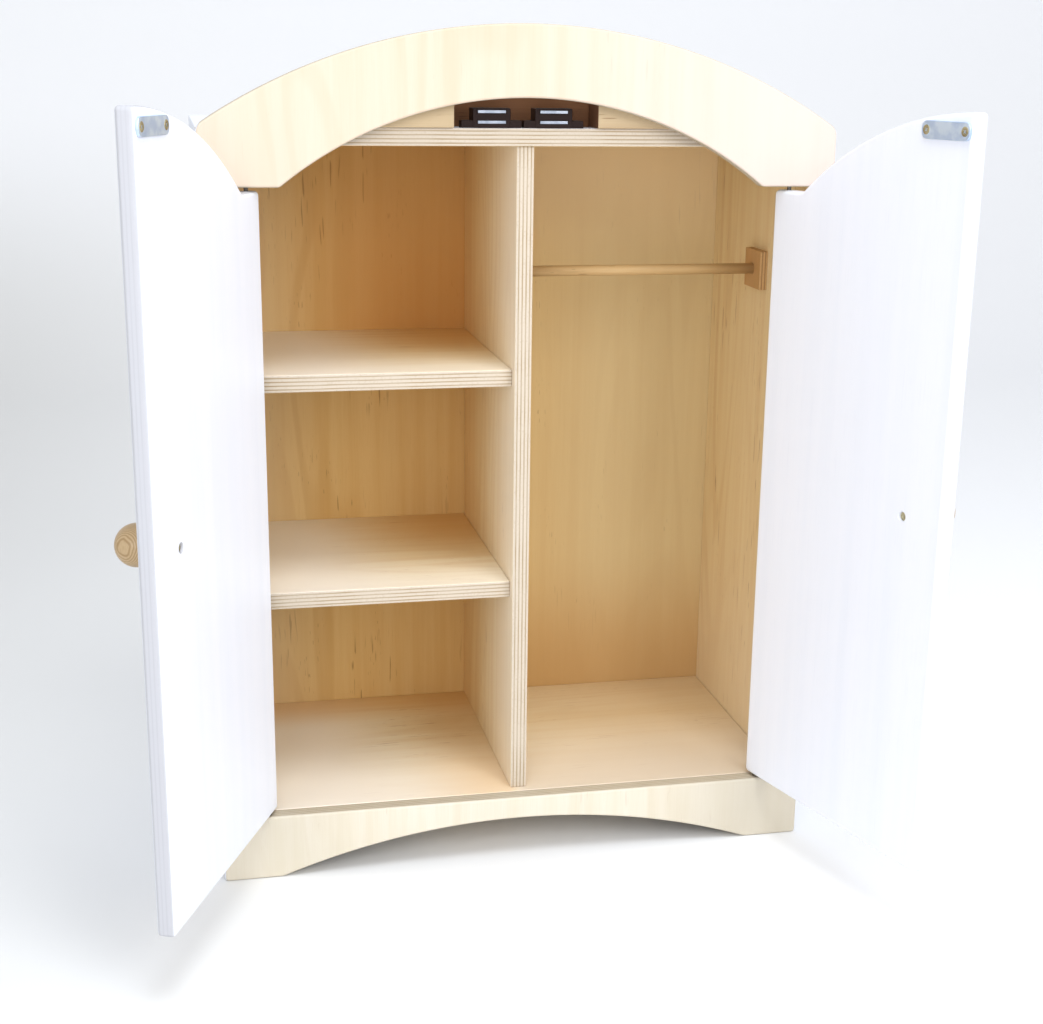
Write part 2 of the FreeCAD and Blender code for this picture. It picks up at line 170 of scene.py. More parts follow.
# ---------------------------------------------------------------- the camera, worked out from the outlines
CAMERA_PLACE = Vector((-240.4, FRONT - 1112.8, 575.3)) * MM
CAMERA_YAW = 12.63
CAMERA_PITCH = -15.81
CAMERA_ROLL = 0.83
CAMERA_LENS = 57.55
CAMERA_SENSOR = 36.0
CAMERA_SHIFT = (-0.0147, 0.0192)


# ---------------------------------------------------------------- mesh helpers
def new_piece(name, mesh_maker):
    """A mesh object made by filling a bmesh in millimetres."""
    work = bmesh.new()
    mesh_maker(work)
    bmesh.ops.recalc_face_normals(work, faces=work.faces)
    bmesh.ops.scale(work, vec=(MM, MM, MM), verts=work.verts)
    mesh = bpy.data.meshes.new(name)
    work.to_mesh(mesh)
    work.free()
    piece = bpy.data.objects.new(name, mesh)
    bpy.context.scene.collection.objects.link(piece)
    for polygon in mesh.polygons:
        polygon.use_smooth = True
    return piece


def bevel(piece, width, segments=4, angle=35.0):
    modifier = piece.modifiers.new("eased edges", "BEVEL")
    modifier.width = width * MM
    modifier.segments = segments
    modifier.limit_method = "ANGLE"
    modifier.angle_limit = math.radians(angle)
    modifier.harden_normals = True
    modifier.miter_outer = "MITER_ARC"
    return piece


def finish_mesh(piece):
    """Turn the modifiers into plain geometry, so that boolean cutters can be removed."""
    graph = bpy.context.evaluated_depsgraph_get()
    mesh = bpy.data.meshes.new_from_object(piece.evaluated_get(graph), depsgraph=graph)
    piece.modifiers.clear()
    piece.data = mesh
    return piece


def even_shading(piece):
    """Let the large flat faces set the normals, so that eased edges shade smoothly into them."""
    piece.data.set_sharp_from_angle(angle=math.radians(40))
    modifier = piece.modifiers.new("even shading", "WEIGHTED_NORMAL")
    modifier.weight = 100
    modifier.keep_sharp = True
    return piece


def cut(piece, cutters):
    for cutter in cutters:
        modifier = piece.modifiers.new("hole", "BOOLEAN")
        modifier.operation = "DIFFERENCE"
        modifier.solver = "EXACT"
        modifier.object = cutter
    finish_mesh(piece)
    for cutter in cutters:
        bpy.data.objects.remove(cutter)
    return piece


# A box's corners are numbered with z changing fastest and x slowest.
BOX_FACES = ((0, 1, 3, 2), (4, 6, 7, 5), (0, 4, 5, 1), (2, 3, 7, 6), (0, 2, 6, 4), (1, 5, 7, 3))


def middled(centre, width):
    """The span of a given width about a centre."""
    return (centre - width / 2, centre + width / 2)


def box(name, x_span, y_span, z_span, eased=EASED_EDGE):
    def fill(work):
        corners = [work.verts.new((x, y, z)) for x in x_span for y in y_span for z in z_span]
        for corner_numbers in BOX_FACES:
            work.faces.new([corners[i] for i in corner_numbers])
    piece = new_piece(name, fill)
    return bevel(piece, eased) if eased else piece


def outline_board(name, outline, y, thickness, eased):
    """A flat board: the outline is a list of (x, z), extruded along Y."""
    def fill(work):
        front = [work.verts.new((x, y, z)) for x, z in outline]
        back = [work.verts.new((x, y + thickness, z)) for x, z in outline]
        work.faces.new(front)
        work.faces.new(list(reversed(back)))
        for i in range(len(outline)):
            j = (i + 1) % len(outline)
            work.faces.new((front[i], back[i], back[j], front[j]))
    return bevel(new_piece(name, fill), eased)


def directions_about(axis):
    """An axis as a unit vector, with two directions square to it."""
    axis = Vector(axis).normalized()
    side = axis.orthogonal().normalized()
    return axis, side, axis.cross(side)


def turned(name, profile, place, axis, steps=64):
    """A lathe shape: profile is a list of (radius, distance along axis)."""
    axis, side, other = directions_about(axis)

    def fill(work):
        rings = []
        for radius, along in profile:
            centre = Vector(place) + axis * along
            if radius < 1e-6:
                rings.append([work.verts.new(centre)])
                continue
            ring = []
            for i in range(steps):
                turn = 2 * math.pi * i / steps
                towards_side = centre + side * radius * math.cos(turn)
                ring.append(work.verts.new(towards_side + other * radius * math.sin(turn)))
            rings.append(ring)
        for lower, upper in zip(rings, rings[1:]):
            for i in range(steps):
                j = (i + 1) % steps
                near = [lower[i % len(lower)], lower[j % len(lower)]]
                far = [upper[j % len(upper)], upper[i % len(upper)]]
                work.faces.new(list(dict.fromkeys(near + far)))
        for ring in (rings[0], rings[-1]):
            if len(ring) > 1:
                work.faces.new(ring)
    return new_piece(name, fill)


def join(name, pieces):
    """Several meshes as one object."""
    work = bmesh.new()
    for piece in pieces:
        finish_mesh(piece)
        work.from_mesh(piece.data)
        bpy.data.objects.remove(piece)
    mesh = bpy.data.meshes.new(name)
    work.to_mesh(mesh)
    work.free()
    joined = bpy.data.objects.new(name, mesh)
    bpy.context.scene.collection.objects.link(joined)
    return joined


def arc_between(centre_z, radius, start_x, end_x, steps):
    """Points on the upper side of a circle centred on the middle line, between two x values."""
    points = []
    first, last = math.asin(start_x / radius), math.asin(end_x / radius)
    for i in range(steps + 1):
        angle = first + (last - first) * i / steps
        points.append((radius * math.sin(angle), centre_z + radius * math.cos(angle)))
    return points


def corner_arc(corner, before, after, radius, steps=8):
    """A rounded corner, given the unit directions towards the points before and after it."""
    points = []
    start = Vector(corner) + Vector(before) * radius
    end = Vector(corner) + Vector(after) * radius
    middle = Vector(corner)
    for i in range(steps + 1):
        t = i / steps
        points.append(tuple(start * (1 - t) ** 2 + middle * 2 * t * (1 - t) + end * t ** 2))
    return points


# ---------------------------------------------------------------- shader helpers
def opaque(colour):
    """A plain colour with its alpha added; a node's output is passed on as it is."""
    return colour + (1.0,) if isinstance(colour, tuple) else colour


class Shader:
    """A material being built, with short ways to add nodes."""

    def __init__(self, name):
        self.material = bpy.data.materials.new(name)
        self.material.use_nodes = True
        self.tree = self.material.node_tree
        self.surface = self.tree.nodes["Principled BSDF"]
        self.coordinates = self.tree.nodes.new("ShaderNodeTexCoord")
        self.place = self.coordinates.outputs["Object"]
        self.normal = self.coordinates.outputs["Normal"]

    def feed(self, socket, value):
        if isinstance(value, bpy.types.NodeSocket):
            self.tree.links.new(value, socket)
        else:
            socket.default_value = value

    def math(self, operation, first, second=0.0):
        node = self.tree.nodes.new("ShaderNodeMath")
        node.operation = operation
        self.feed(node.inputs[0], first)
        self.feed(node.inputs[1], second)
        return node.outputs[0]

    def times(self, first, second):
        return self.math("MULTIPLY", first, second)

    def parts(self, vector):
        node = self.tree.nodes.new("ShaderNodeSeparateXYZ")
        self.feed(node.inputs[0], vector)
        return [node.outputs[i] for i in range(3)]

    def stretched(self, scales, offset=0.0):
        """Object coordinates scaled per axis, per metre."""
        node = self.tree.nodes.new("ShaderNodeMapping")
        self.feed(node.inputs["Vector"], self.place)
        node.inputs["Scale"].default_value = scales
        node.inputs["Location"].default_value = (offset, offset * 0.7, offset * 1.3)
        return node.outputs[0]

    def noise(self, vector, detail=2.0, roughness=0.5, distortion=0.0):
        node = self.tree.nodes.new("ShaderNodeTexNoise")
        self.feed(node.inputs["Vector"], vector)
        node.inputs["Scale"].default_value = 1.0
        node.inputs["Detail"].default_value = detail
        node.inputs["Roughness"].default_value = roughness
        node.inputs["Distortion"].default_value = distortion
        return node.outputs["Fac"]

    def strands(self, along, along_scale, across_scale, offset, detail=2.0, roughness=0.5, distortion=0.0):
        """Noise drawn out along one axis."""
        scales = tuple(along_scale if axis == along else across_scale for axis in range(3))
        return self.noise(self.stretched(scales, offset), detail, roughness, distortion)

    def speckle(self, scale, offset, detail):
        """Noise of the same scale every way."""
        return self.noise(self.stretched((scale, scale, scale), offset), detail)

    def ramp(self, value, low, high):
        """0 below low, 1 above high, smooth between."""
        node = self.tree.nodes.new("ShaderNodeMapRange")
        node.interpolation_type = "SMOOTHSTEP"
        self.feed(node.inputs["Value"], value)
        node.inputs["From Min"].default_value = low
        node.inputs["From Max"].default_value = high
        return node.outputs["Result"]

    def mix(self, factor, first, second):
        node = self.tree.nodes.new("ShaderNodeMix")
        node.data_type = "RGBA"
        self.feed(node.inputs["Factor"], factor)
        self.feed(node.inputs["A"], opaque(first))
        self.feed(node.inputs["B"], opaque(second))
        return node.outputs["Result"]

    def bump(self, height, distance, strength=1.0):
        node = self.tree.nodes.new("ShaderNodeBump")
        node.inputs["Strength"].default_value = strength
        node.inputs["Distance"].default_value = distance
        self.feed(node.inputs["Height"], height)
        self.feed(self.surface.inputs["Normal"], node.outputs[0])

    def done(self, colour, roughness, metallic=0.0):
        self.feed(self.surface.inputs["Base Color"], opaque(colour))
        self.feed(self.surface.inputs["Roughness"], roughness)
        self.feed(self.surface.inputs["Metallic"], metallic)
        return self.material


def srgb(red, green, blue):
    """An 0-255 colour as linear values."""
    def linear(value):
        value /= 255
        return value / 12.92 if value <= 0.04045 else ((value + 0.055) / 1.055) ** 2.4
    return (linear(red), linear(green), linear(blue))


def grain(shader, along, palette, seed, flecked):
    """Birch face grain running along one axis: soft flames, streaks, fibres and short dark flecks."""
    light, warm, dark, fleck = palette
    figure = shader.strands(along, 1.6, 11.0, seed, 1.5, 0.45, 0.5)
    flames = shader.math("SINE", shader.times(figure, 75.0))
    flames = shader.ramp(flames, 0.1, 1.0)
    patches = shader.strands(along, 1.2, 7.0, seed + 3, 1.0)
    flames = shader.times(flames, shader.ramp(patches, 0.35, 0.7))
    streaks = shader.strands(along, 2.4, 90.0, seed + 5, 3.0, 0.55)
    fibres = shader.strands(along, 35.0, 1400.0, seed + 7, 2.0, 0.6)
    colour = shader.mix(shader.ramp(streaks, 0.3, 0.75), light, warm)
    colour = shader.mix(shader.times(flames, 0.42), colour, dark)
    colour = shader.mix(shader.times(shader.ramp(fibres, 0.45, 0.8), 0.22), colour, dark)
    dashes = shader.strands(along, 130.0, 1300.0, seed + 9, 0.0)
    sparse = shader.strands(along, 14.0, 40.0, seed + 11, 0.0)
    dashes = shader.times(shader.ramp(dashes, 0.74, 0.8), shader.ramp(sparse, 0.6, 0.68))
    colour = shader.mix(shader.times(dashes, flecked * 0.7), colour, fleck)
    ticks = shader.strands(along, 42.0, 620.0, seed + 13, 0.0, 0.5, 0.4)
    rare = shader.strands(along, 9.0, 22.0, seed + 15, 0.0)
    ticks = shader.times(shader.ramp(ticks, 0.72, 0.8), shader.ramp(rare, 0.58, 0.66))
    colour = shader.mix(shader.times(ticks, flecked), colour, fleck)
    return colour, fibres


def ply_edge(shader, through, low, thickness, plies, light, dark):
    """Layer stripes across a board's edge."""
    position = shader.parts(shader.place)[through]
    depth = shader.times(shader.math("SUBTRACT", position, low * MM), plies / (thickness * MM))
    wobble = shader.speckle(40.0, 2.0, 1.0)
    depth = shader.math("ADD", depth, shader.times(shader.math("SUBTRACT", wobble, 0.5), 0.25))
    wave = shader.math("COSINE", shader.times(shader.math("SUBTRACT", depth, 0.5), math.pi))
    layer = shader.math("SUBTRACT", 0.5, shader.times(wave, 0.5))
    layer = shader.ramp(layer, 0.55, 0.95)
    pores = shader.speckle(700.0, 4.0, 2.0)
    length = shader.speckle(30.0, 9.0, 2.0)
    strength = shader.math("ADD", shader.times(shader.ramp(length, 0.3, 0.7), 0.4), 0.6)
    colour = shader.mix(shader.times(layer, strength), light, dark)
    return shader.mix(shader.times(shader.ramp(pores, 0.5, 0.8), 0.25), colour, dark)


def facing(shader, axis, sign=0):
    """1 on faces whose normal lies along an axis; with a sign, only that way round."""
    along = shader.parts(shader.normal)[axis]
    if sign:
        along = shader.times(along, float(sign))
    else:
        along = shader.math("ABSOLUTE", along)
    return shader.ramp(along, 0.6, 0.8)


def glaze(shader, along, seed):
    """White glaze with the birch grain faintly showing."""
    fibres = shader.strands(along, 30.0, 900.0, seed, 3.0, 0.6)
    streaks = shader.strands(along, 2.0, 60.0, seed + 2, 2.0, 0.5)
    colour = shader.mix(shader.ramp(streaks, 0.3, 0.8), srgb(239, 242, 250), srgb(235, 239, 248))
    amount = shader.times(shader.ramp(fibres, 0.5, 0.8), 0.22)
    colour = shader.mix(amount, colour, srgb(221, 225, 236))
    return colour, fibres


# Each palette is a light, a warm and a dark wood tone, and the colour of the flecks.
BIRCH_FRONT = (srgb(224, 205, 188), srgb(219, 199, 178), srgb(211, 188, 162), srgb(160, 124, 88))
BIRCH_SHELF = (srgb(243, 233, 207), srgb(237, 222, 190), srgb(221, 198, 158), srgb(160, 120, 84))
BIRCH_INSIDE = (srgb(242, 223, 185), srgb(236, 212, 170), srgb(224, 196, 150), srgb(154, 112, 74))
BIRCH_SIDE = (srgb(236, 219, 182), srgb(230, 208, 168), srgb(218, 190, 146), srgb(154, 112, 74))
# Darker, more saturated birch for the back panel: partly painted shade deep in the bays.
BIRCH_SHADED_BACK = (srgb(230, 201, 144), srgb(223, 189, 129), srgb(211, 172, 110), srgb(140, 96, 52))
# Painted shade: the crown blocks' birch darkened for the shade behind the crown.
BIRCH_SHADED_BLOCK = (srgb(200, 180, 148), srgb(193, 170, 137), srgb(178, 152, 117), srgb(140, 104, 70))
BIRCH_PLINTH = (srgb(224, 217, 203), srgb(219, 211, 193), srgb(209, 197, 173), srgb(160, 124, 88))
# Painted shade: the rod blocks' birch darkened for the shade near the doors.
BIRCH_SHADED_HOLDER = (srgb(206, 170, 124), srgb(198, 160, 112), srgb(180, 140, 92), srgb(130, 92, 56))
ROD_WOOD = (srgb(212, 186, 144), srgb(202, 170, 122), srgb(176, 138, 90), srgb(104, 70, 44))
# Painted shade: a dark brown palette for the backing in the shaded catch recess.
SHADED_RECESS_WOOD = (srgb(150, 108, 74), srgb(134, 94, 62), srgb(108, 72, 46), srgb(64, 42, 28))
# Painted shade: dark brown for the end of each block inside the catch recess.
RECESS_PAINTED_SHADE = srgb(112, 76, 50)

# Painted light and shade: tints laid slowly across the boards where light falls brighter or shade falls
# deeper.
PAINTED_SHADE_DEEP = srgb(196, 150, 92)
PAINTED_SHADE_AMBER = srgb(206, 148, 76)
PAINTED_CORNER_SHADE = srgb(230, 186, 118)
SHADE_TONE = srgb(204, 186, 162)
PAINTED_LIGHT_BACK = srgb(250, 228, 190)
PAINTED_LIGHT_SIDE = srgb(238, 226, 204)
PAINTED_LIGHT_COOL = srgb(222, 208, 202)
PAINTED_SHADE_TIP = srgb(220, 209, 193)
PAINTED_SHADE_DULL = srgb(200, 192, 176)
PAINTED_SHADE_MELLOW = srgb(211, 197, 163)
BACK_PAINTED_LIGHT = srgb(236, 218, 188)
PAINTED_SHADE_WARM = srgb(206, 176, 134)
PAINTED_LIGHT_WASH = srgb(246, 238, 226)

# Edges are a light and a dark ply.
# Painted shade on the doors' layered edges, the left door's darker than the right's.
DOOR_EDGE_SHADE = {"left": srgb(198, 199, 205), "right": srgb(226, 229, 235)}
FRONT_EDGES = (srgb(204, 196, 180), srgb(180, 166, 142))
# Painted shade: the rod blocks' ply edges darkened to match.
SHADED_HOLDER_EDGES = (srgb(204, 170, 124), srgb(134, 92, 54))
BOARD_EDGES = (srgb(207, 196, 181), srgb(170, 150, 122))
BOARD_PLIES = 9
THIN_PLIES = 5
BOARD_FLECKS = 0.55
FRONT_FLECKS = 0.12


def painted_shading(tint, strength, *spans):
    """A tint of painted light and shade, full only where all its spans are.

    Each span is an axis, the place where the tint is full and the place where it is gone, in millimetres.
    """
    return tint, strength, spans


# Spans that keep a tint of painted light and shade to one side of the divider.
LEFT_BAY = (X, -5, 5)
RIGHT_BAY = (X, 5, -5)


def board_material(name, along, through, low, palette, seed, thickness=BOARD, plies=BOARD_PLIES, painted=(),
                   painted_shadings=(), flecked=BOARD_FLECKS, edges=BOARD_EDGES):
    """Plywood: grain along one axis, tints of painted light and shade over the grain, layers through another
    axis from its low face, and white where it is painted.

    Painted is a list of axes with a sign: the board is white where it faces that way, or both ways for 0.
    """
    shader = Shader(name)
    colour, fibres = grain(shader, along, palette, seed, flecked)
    # Painted light and shade, laid over the grain one tint at a time.
    for tint, strength, spans in painted_shadings:
        amount = strength
        for axis, full, gone in spans:
            reach = shader.ramp(shader.parts(shader.place)[axis], gone * MM, full * MM)
            amount = shader.times(reach, amount)
        colour = shader.mix(amount, colour, tint)
    if plies:
        edge = ply_edge(shader, through, low, thickness, plies, *edges)
        colour = shader.mix(facing(shader, through), edge, colour)
    for axis, sign in painted:
        paint, _ = glaze(shader, along, seed)
        colour = shader.mix(facing(shader, axis, sign), colour, paint)
    shader.bump(fibres, 0.00004, 0.5)
    shader.surface.inputs["Specular IOR Level"].default_value = 0.3
    return shader.done(colour, 0.55)


def door_material(name, edge_shade):
    """White glaze; the layered edges are greyer with painted shade, the left door's darker than the right's.
    """
    shader = Shader(name + " white glaze")
    colour, fibres = glaze(shader, Z, 1.0)
    # Painted shade: the edges take the door's greyer edge tone, with the faint plies a little darker.
    faint_layer = tuple(value * 0.94 for value in edge_shade)
    edge = ply_edge(shader, Y, DOOR_FRONT, BOARD, BOARD_PLIES, edge_shade, faint_layer)
    colour = shader.mix(facing(shader, Y), edge, colour)
    shader.bump(fibres, 0.00004, 0.5)
    return shader.done(colour, 0.42)


def knob_material():
    """Turned wood: slanting growth layers, which show as rings where the ball cuts across them."""
    shader = Shader("knob wood")
    x, y, z = shader.parts(shader.place)
    across = shader.times(shader.math("ABSOLUTE", x), KNOB_RING_SLANT[0])
    across = shader.math("ADD", across, shader.times(y, KNOB_RING_SLANT[1]))
    across = shader.math("SUBTRACT", across, shader.times(z, KNOB_RING_SLANT[2]))
    waver = shader.speckle(90.0, 3.0, 1.0)
    across = shader.math("ADD", across, shader.times(waver, KNOB_RING_WAVER * MM))
    rings = shader.math("SINE", shader.times(across, 2 * math.pi / (KNOB_RING_SPACING * MM)))
    fibres = shader.strands(Z, 300.0, 1100.0, 6.0, 2.0)
    colour = shader.mix(shader.ramp(rings, -0.6, 1.0), srgb(197, 173, 138), srgb(174, 147, 109))
    amount = shader.times(shader.ramp(fibres, 0.45, 0.8), 0.25)
    colour = shader.mix(amount, colour, srgb(150, 118, 82))
    shader.bump(fibres, 0.00003, 0.4)
    return shader.done(colour, 0.36)


def shaded_recess_material():
    """The recess's backing, dark brown with painted shade."""
    shader = Shader("dark wood")
    colour, fibres = grain(shader, X, SHADED_RECESS_WOOD, 5.0, BOARD_FLECKS)
    shader.bump(fibres, 0.00005, 0.5)
    return shader.done(colour, 0.6)


def block_material(name, side):
    """Birch darkened with painted shade behind the crown, and dark brown painted shade on the end that closes
    the catch recess.
    """
    shader = Shader(name + " block wood")
    colour, fibres = grain(shader, X, BIRCH_SHADED_BLOCK, 21.0 + side, BOARD_FLECKS)
    # Painted shade: dark brown on the end facing into the catch recess.
    colour = shader.mix(facing(shader, X, -side), colour, RECESS_PAINTED_SHADE)
    shader.bump(fibres, 0.00004, 0.5)
    return shader.done(colour, 0.6)


def plastic_material():
    """Moulded plastic with a fine mottle."""
    shader = Shader("brown plastic")
    mottle = shader.speckle(1500.0, 0.0, 2.0)
    colour = shader.mix(shader.ramp(mottle, 0.3, 0.7), srgb(46, 29, 25), srgb(38, 24, 22))
    shader.bump(mottle, 0.00003, 0.4)
    shader.surface.inputs["Specular IOR Level"].default_value = 0.25
    return shader.done(colour, 0.38)


def metal_material(name, first, second, scratch_axis, roughness):
    """Clouded metal with fine scratches along one axis."""
    shader = Shader(name)
    scratches = shader.strands(scratch_axis, 60.0, 2500.0, 0.0, 2.0)
    clouds = shader.speckle(120.0, 3.0, 2.0)
    colour = shader.mix(shader.ramp(clouds, 0.35, 0.65), first, second)
    shader.bump(scratches, 0.00001, 0.5)
    rough = shader.math("ADD", roughness, shader.times(scratches, 0.12))
    return shader.done(colour, rough, 1.0)


def magnet_material():
    """Dull gritty ferrite."""
    shader = Shader("ferrite")
    grit = shader.speckle(2000.0, 0.0, 2.0)
    shader.bump(grit, 0.00003, 0.5)
    return shader.done(srgb(40, 40, 44), 0.55)


# ---------------------------------------------------------------- placing pieces
def use(piece, node, body, material):
    """Finish a piece: its material, the CAD node it stands for, and the body it rides on."""
    piece.data.materials.clear()
    piece.data.materials.append(material)
    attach(piece, body)
    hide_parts(node)
    return piece


def cross_head(name, sizes, surface, axis):
    """A countersunk screw, driven along an axis into a surface at a point, with a cross-shaped recess."""
    head, shank, length, proud = sizes
    axis, side, other = directions_about(axis)
    place = [middle - way * proud for middle, way in zip(surface, axis)]
    profile = [(0.0, 0.0), (head - SCREW_RIM, 0.0), (head, SCREW_RIM * 0.6)]
    profile += [(shank, head - shank), (shank, length), (0.0, length)]
    screw = turned(name, profile, place, axis, SMALL_STEPS)
    cutters = []
    for long_way, short_way in ((side, other), (other, side)):
        cutters.append(recess_bar(place, axis, long_way, short_way, head))
    return cut(screw, cutters)


def recess_bar(place, axis, long_way, short_way, head):
    """One arm of the cross: a short wedge sunk into the screw head, narrower at its deep end."""
    reach, half_width = head * CROSS_REACH, head * CROSS_WIDTH

    def fill(work):
        corners = []
        for depth, spread in ((CROSS_START, 1.0), (CROSS_DEPTH, CROSS_TAPER)):
            for a, b in ((-1, -1), (1, -1), (1, 1), (-1, 1)):
                offset = long_way * a * reach * spread + short_way * b * half_width * spread
                corners.append(work.verts.new(Vector(place) + axis * depth + offset))
        work.faces.new(corners[:4])
        work.faces.new(list(reversed(corners[4:])))
        for i in range(4):
            j = (i + 1) % 4
            work.faces.new((corners[i], corners[4 + i], corners[4 + j], corners[j]))
    return new_piece("cross arm", fill)


# ---------------------------------------------------------------- carcass
def build_crown():
    spring = math.sqrt(CROWN_INNER_RADIUS ** 2 - (CROWN_BOTTOM - CROWN_INNER_CENTRE) ** 2)
    tip = CROWN_OUTER_CENTRE + math.sqrt(CROWN_OUTER_RADIUS ** 2 - HALF_WIDTH ** 2)
    outline = [(-HALF_WIDTH, CROWN_BOTTOM)]
    outline += arc_between(CROWN_INNER_CENTRE, CROWN_INNER_RADIUS, -spring, spring, 96)
    outline += [(HALF_WIDTH, CROWN_BOTTOM)]
    inset = HALF_WIDTH - CROWN_TIP_ROUND
    outer = arc_between(CROWN_OUTER_CENTRE, CROWN_OUTER_RADIUS, inset, -inset, 96)
    slope = Vector((outer[1][0] - outer[0][0], outer[1][1] - outer[0][1])).normalized()
    right = corner_arc((HALF_WIDTH, tip), (0, -1), tuple(slope), CROWN_TIP_ROUND)
    outline += right
    outline += outer[1:-1]
    outline += [(-x, z) for x, z in reversed(right)]
    crown = outline_board("crown", outline, FRONT, BOARD, CROWN_EASED_EDGE)
    # Painted light: cooler and paler towards the right end; painted shade: greyer towards the left tip.
    painted_shadings = [painted_shading(PAINTED_LIGHT_COOL, 0.75, (X, HALF_WIDTH, -40)),
             painted_shading(PAINTED_SHADE_TIP, 0.6, (X, -HALF_WIDTH, -90))]
    material = board_material("birch crown", Z, Y, FRONT, BIRCH_FRONT, 2.0, painted=[(X, 0)],
                              painted_shadings=painted_shadings, flecked=FRONT_FLECKS, edges=FRONT_EDGES)
    use(crown, "crown_board", "carcass", material)


def build_plinth():
    foot = math.sqrt(PLINTH_ARCH_RADIUS ** 2 - PLINTH_ARCH_CENTRE ** 2)
    outline = corner_arc((-HALF_WIDTH, 0), (0, 1), (1, 0), PLINTH_FOOT_ROUND)
    outline += arc_between(PLINTH_ARCH_CENTRE, PLINTH_ARCH_RADIUS, -foot, foot, 72)
    outline += corner_arc((HALF_WIDTH, 0), (-1, 0), (0, 1), PLINTH_FOOT_ROUND)
    outline += corner_arc((HALF_WIDTH, FLOOR_TOP), (0, -1), (-1, 0), PLINTH_TOP_ROUND, 4)
    outline += corner_arc((-HALF_WIDTH, FLOOR_TOP), (1, 0), (0, -1), PLINTH_TOP_ROUND, 4)
    plinth = outline_board("plinth", outline, FRONT, BOARD, PLINTH_EASED_EDGE)
    # Painted shade: duller towards both ends, more at the right.
    painted_shadings = [painted_shading(PAINTED_SHADE_DULL, 0.7, (X, 210, 60)),
             painted_shading(PAINTED_SHADE_DULL, 0.35, (X, -210, -80))]
    material = board_material("birch plinth", Z, Y, FRONT, BIRCH_PLINTH, 6.0, painted=[(X, 0)],
                              painted_shadings=painted_shadings, flecked=FRONT_FLECKS, edges=FRONT_EDGES)
    use(plinth, "plinth_board", "carcass", material)


def build_sides():
    for name, side in SIDES.items():
        x_span = sorted((side * INNER_SIDE, side * HALF_WIDTH))
        panel = box(name + " side", x_span, (CARCASS_FRONT, BACK_INNER), (0, TOP_PANEL_BOTTOM))
        panel.name = name + "_side"
        # Painted light: paler towards the foot of each side.
        material = board_material(name + " side", Z, X, x_span[0], BIRCH_SIDE, 3.0 + side,
                                  painted=[(X, side)], painted_shadings=[painted_shading(PAINTED_LIGHT_SIDE, 0.6, (Z, 50, 240))])
        use(panel, name + "_side_panel", "carcass", material)


def build_back():
    panel = box("back", (-HALF_WIDTH, HALF_WIDTH), (BACK_INNER, BACK_FACE), (0, TOP_PANEL_TOP))
    # Painted light and shade on the back: paler at the left, muted and darker towards the right, darker low
    # in the right bay, amber shade near the divider in the left bays (most just above the upper shelf), and
    # brighter high in the right bay.
    painted_shadings = [painted_shading(PAINTED_SHADE_MELLOW, 0.6, (X, 130, -20)),
             painted_shading(BACK_PAINTED_LIGHT, 0.7, (X, -INNER_SIDE, -110)),
             painted_shading(PAINTED_SHADE_DEEP, 0.55, RIGHT_BAY, (Z, 60, 180)),
             painted_shading(PAINTED_SHADE_AMBER, 0.7, LEFT_BAY, (X, -60, -170), (Z, 368, 352), (Z, 365, 640)),
             painted_shading(PAINTED_SHADE_AMBER, 0.15, LEFT_BAY, (X, -60, -170)),
             painted_shading(PAINTED_LIGHT_BACK, 0.8, RIGHT_BAY, (Z, 510, 400))]
    material = board_material("back", Z, Y, BACK_INNER, BIRCH_SHADED_BACK, 9.0, BACK_THICKNESS, THIN_PLIES,
                              painted=[(Y, 1), (X, 0), (Z, 1)], painted_shadings=painted_shadings)
    use(panel, "back_panel", "carcass", material)


def build_floor():
    depth = (CARCASS_FRONT, BACK_INNER)
    height = (FLOOR_TOP - BOARD, FLOOR_TOP)
    panel = box("floor_board", (-INNER_SIDE, INNER_SIDE), depth, height, FLOOR_EASED_EDGE)
    # Painted light and shade on the floor: light along the front and the left of the left bay, amber shade at
    # the back of the left bay and by the divider, warmer darker shade to the right, and shade along the front
    # of the right bay.
    front = (Y, CARCASS_FRONT, CARCASS_FRONT + 150)
    painted_shadings = [painted_shading(PAINTED_SHADE_WARM, 0.55, (X, 160, -60)),
             painted_shading(PAINTED_LIGHT_WASH, 0.8, front),
             painted_shading(PAINTED_LIGHT_WASH, 1.0, LEFT_BAY, (X, -150, -60)),
             painted_shading(PAINTED_CORNER_SHADE, 0.6, LEFT_BAY, (Y, -10, -70)),
             painted_shading(PAINTED_CORNER_SHADE, 0.4, LEFT_BAY, (X, -12, -90)),
             painted_shading(SHADE_TONE, 0.45, RIGHT_BAY, front)]
    material = board_material("floor ply", X, Z, height[0], BIRCH_SHELF, 12.0, painted_shadings=painted_shadings)
    use(panel, "floor_panel", "carcass", material)


def build_top():
    height = (TOP_PANEL_BOTTOM, TOP_PANEL_TOP)
    panel = box("top_board", (-HALF_WIDTH, HALF_WIDTH), (TOP_PANEL_FRONT, BACK_INNER), height)
    material = board_material("top ply", X, Z, height[0], BIRCH_INSIDE, 14.0, painted=[(Z, 1), (X, 0)])
    use(panel, "top_panel", "carcass", material)


def build_divider():
    height = (FLOOR_TOP, TOP_PANEL_BOTTOM)
    panel = box("divider", (DIVIDER_LEFT, DIVIDER_RIGHT), (DIVIDER_FRONT, BACK_INNER), height)
    # Painted light and shade: lighter towards the front, amber shade towards the back.
    painted_shadings = [painted_shading(PAINTED_LIGHT_WASH, 0.6, (Y, DIVIDER_FRONT, DIVIDER_FRONT + 150)),
             painted_shading(PAINTED_CORNER_SHADE, 0.45, (Y, -10, -110))]
    material = board_material("divider ply", Z, X, DIVIDER_LEFT, BIRCH_INSIDE, 16.0, painted_shadings=painted_shadings)
    use(panel, "divider_panel", "carcass", material)


